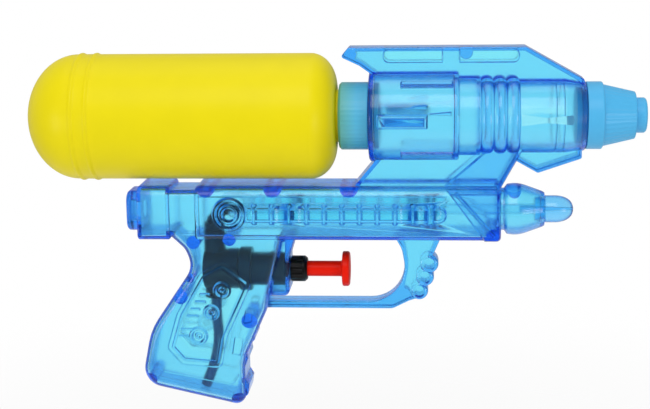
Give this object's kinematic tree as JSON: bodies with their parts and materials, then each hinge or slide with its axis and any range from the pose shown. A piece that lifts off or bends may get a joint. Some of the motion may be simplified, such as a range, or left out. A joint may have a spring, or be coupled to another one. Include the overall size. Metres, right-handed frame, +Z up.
{
  "type": "water squirter",
  "caption": "Toy water squirter with a clear two-half shell, a screw-on tank behind the upper barrel, a plunger trigger pump and a bullet nozzle.",
  "frame": {"origin": "middle of the hand grip, on the seam between the two shell halves", "axes": "+X towards the muzzle, +Z up, the pictured side on -Y"},
  "size_m": [0.2729, 0.0568, 0.1612],
  "materials": {
    "clear_blue_shell": "clear tinted, gloss",
    "clear_blue_nozzle": "clear tinted, gloss",
    "yellow_tank": "blown, satin",
    "sky_blue_plastic": "moulded, satin",
    "white_seal": "soft",
    "black_plastic": "moulded, satin",
    "black_rubber": "matte",
    "red_plastic": "moulded, gloss",
    "spring_steel": "drawn wire",
    "ball_steel": "polished",
    "clear_tube": "soft, clear",
    "blue_tube": "soft"
  },
  "bodies": {
    "housing": {"housing_right": "clear_blue_shell", "housing_left": "clear_blue_shell", "tank_collar": "sky_blue_plastic", "barrel_nose": "sky_blue_plastic", "nozzle": "clear_blue_nozzle", "pump_barrel": "black_plastic", "valve_block": "black_plastic", "pump_nut": "black_plastic", "rod_seal": "black_rubber", "return_spring": "spring_steel", "inlet_fitting": "black_plastic", "outlet_elbow": "black_plastic", "outlet_tube": "clear_tube", "intake_tube": "blue_tube"},
    "trigger": {"trigger": "red_plastic", "piston_cup": "black_rubber"},
    "mouth_seal": {"mouth_seal": "white_seal"},
    "tank": {"tank": "yellow_tank"},
    "inlet_ball": {"inlet_ball": "ball_steel"},
    "outlet_ball": {"outlet_ball": "ball_steel"}
  },
  "joints": [
    {"name": "trigger_pull", "type": "slide", "parent": "housing", "child": "trigger", "axis": [-1, 0, 0], "range_m": [0, 0.013], "stiffness_N_per_m": 200, "springref_m": -0.01, "deforming": ["return_spring"]},
    {"name": "tank_draw", "type": "slide", "parent": "housing", "child": "mouth_seal", "axis": [-1, 0, 0], "range_m": [0, 0.0113]},
    {"name": "tank_turn", "type": "hinge", "parent": "mouth_seal", "child": "tank", "pos_m": [0, 0, 0.0953], "axis": [-1, 0, 0], "range_deg": [0, 900]},
    {"name": "inlet_ball_lift", "type": "slide", "parent": "housing", "child": "inlet_ball", "axis": [0, 0, 1], "range_m": [0, 0.001]},
    {"name": "outlet_ball_lift", "type": "slide", "parent": "housing", "child": "outlet_ball", "axis": [0, 0, 1], "range_m": [0, 0.001]}
  ],
  "couplings": [
    {"joint": "tank_draw", "follows": "tank_turn", "m_per_rad": 0.0007162}
  ]
}
